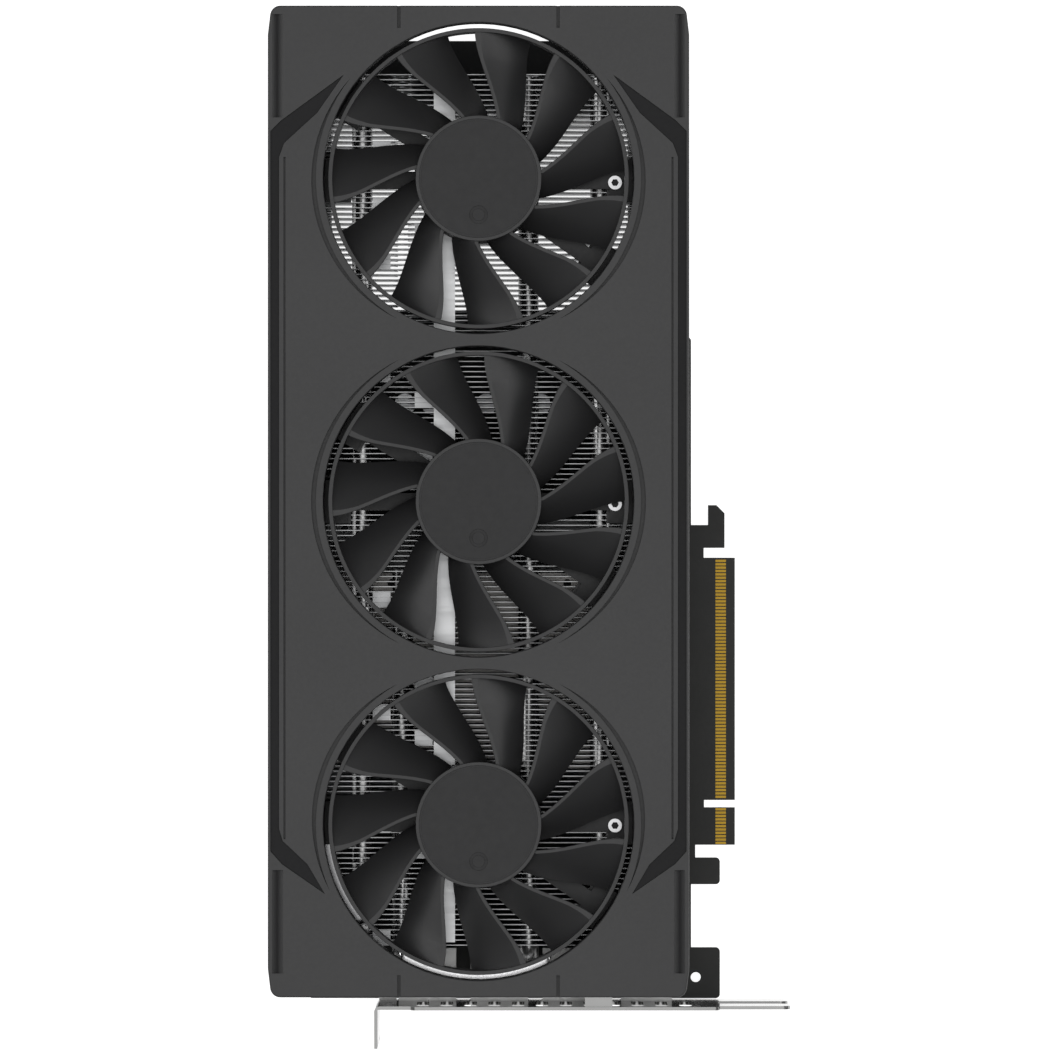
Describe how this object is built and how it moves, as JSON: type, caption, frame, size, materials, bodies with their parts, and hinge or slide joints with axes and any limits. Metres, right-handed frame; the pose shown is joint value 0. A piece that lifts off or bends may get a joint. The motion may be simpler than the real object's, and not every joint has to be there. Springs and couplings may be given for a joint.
{
  "type": "graphics card",
  "caption": "Long triple-fan graphics card with ringed axial fans over a finned heatsink, short circuit board, gold edge connector, metal display bracket and vented backplate.",
  "frame": {"origin": "on the outer face of the backplate, which is the lowest plane of the card as it lies, under the axis of the middle fan", "axes": "+Z from the backplate towards the fans, along the fan axes; +Y along the card away from the display bracket; +X towards the card edge connector"},
  "size_m": [0.1524, 0.3039, 0.05],
  "materials": {
    "shroud_plastic": "fine satin moulded texture",
    "trim_plastic": "smooth matt",
    "rotor_plastic": "smooth satin",
    "badge": "fine grained",
    "frame_plastic": "matt",
    "motor_steel": "plain",
    "motor_core": "laminated, wound with enamelled copper",
    "magnet": "matt",
    "screw_steel": "zinc plated",
    "black_screw": "black oxide",
    "bronze": "oiled",
    "fin_aluminium": "bare rolled",
    "nickel_pipe": "nickel plated, satin",
    "plated_copper": "machined copper, nickel-plated",
    "plate_aluminium": "cast, bead blasted",
    "board": "black solder mask",
    "gold": "hard gold plating",
    "package": "laminate",
    "silicon": "polished",
    "chip_black": "moulded epoxy",
    "choke_grey": "sintered",
    "can_aluminium": "satin can",
    "pad_silicone": "soft, dull",
    "lead_sleeve": "smooth",
    "header_plastic": "natural nylon",
    "socket_plastic": "glass-filled nylon",
    "pin_tin": "tin plated",
    "shell_nickel": "nickel plated",
    "bracket_nickel": "satin nickel plated steel",
    "back_metal": "black powder coat",
    "clamp_steel": "spring steel"
  },
  "bodies": {
    "card": {"backplate": "back_metal", "backplate_screws": "black_screw", "bearing_sleeves": "bronze", "bracket_screws": "screw_steel", "capacitors": "can_aluminium", "chokes": "choke_grey", "clamp_plate": "clamp_steel", "clamp_screws": "black_screw", "cold_plate": "plated_copper", "cooling_fins": "fin_aluminium", "display_port_1": "shell_nickel", "display_port_2": "shell_nickel", "display_port_3": "shell_nickel", "edge_contacts": "gold", "fan_frame_1": "frame_plastic", "fan_frame_2": "frame_plastic", "fan_frame_3": "frame_plastic", "fan_headers": "header_plastic", "fan_leads": "lead_sleeve", "fan_screws": "screw_steel", "gpu_die": "silicon", "gpu_package": "package", "hdmi_port": "shell_nickel", "heat_pipe_1": "nickel_pipe", "heat_pipe_2": "nickel_pipe", "heat_pipe_3": "nickel_pipe", "heat_pipe_4": "nickel_pipe", "heatsink_bar": "fin_aluminium", "io_bracket": "bracket_nickel", "memory_chips": "chip_black", "memory_plate": "plate_aluminium", "mosfets": "chip_black", "motor_boards": "package", "motor_stator_1": "motor_core", "motor_stator_2": "motor_core", "motor_stator_3": "motor_core", "pcb": "board", "power_pins": "pin_tin", "power_socket_1": "socket_plastic", "power_socket_2": "socket_plastic", "shroud": "shroud_plastic", "side_trim_left": "trim_plastic", "side_trim_right": "trim_plastic", "standoffs": "screw_steel", "thermal_pads": "pad_silicone"},
    "rotor_1": {"fan_rotor_1": "rotor_plastic", "hub_badge_1": "badge", "shaft_1": "motor_steel", "rotor_yoke_1": "motor_steel", "magnet_ring_1": "magnet"},
    "rotor_2": {"fan_rotor_2": "rotor_plastic", "hub_badge_2": "badge", "shaft_2": "motor_steel", "rotor_yoke_2": "motor_steel", "magnet_ring_2": "magnet"},
    "rotor_3": {"fan_rotor_3": "rotor_plastic", "hub_badge_3": "badge", "shaft_3": "motor_steel", "rotor_yoke_3": "motor_steel", "magnet_ring_3": "magnet"}
  },
  "joints": [
    {"name": "fan_spin_1", "type": "hinge", "parent": "card", "child": "rotor_1", "pos_m": [0, 0.0939, 0.042], "axis": [0, 0, 1], "continuous": true},
    {"name": "fan_spin_2", "type": "hinge", "parent": "card", "child": "rotor_2", "pos_m": [0, 0, 0.042], "axis": [0, 0, 1], "continuous": true},
    {"name": "fan_spin_3", "type": "hinge", "parent": "card", "child": "rotor_3", "pos_m": [0, -0.0939, 0.042], "axis": [0, 0, 1], "continuous": true}
  ]
}
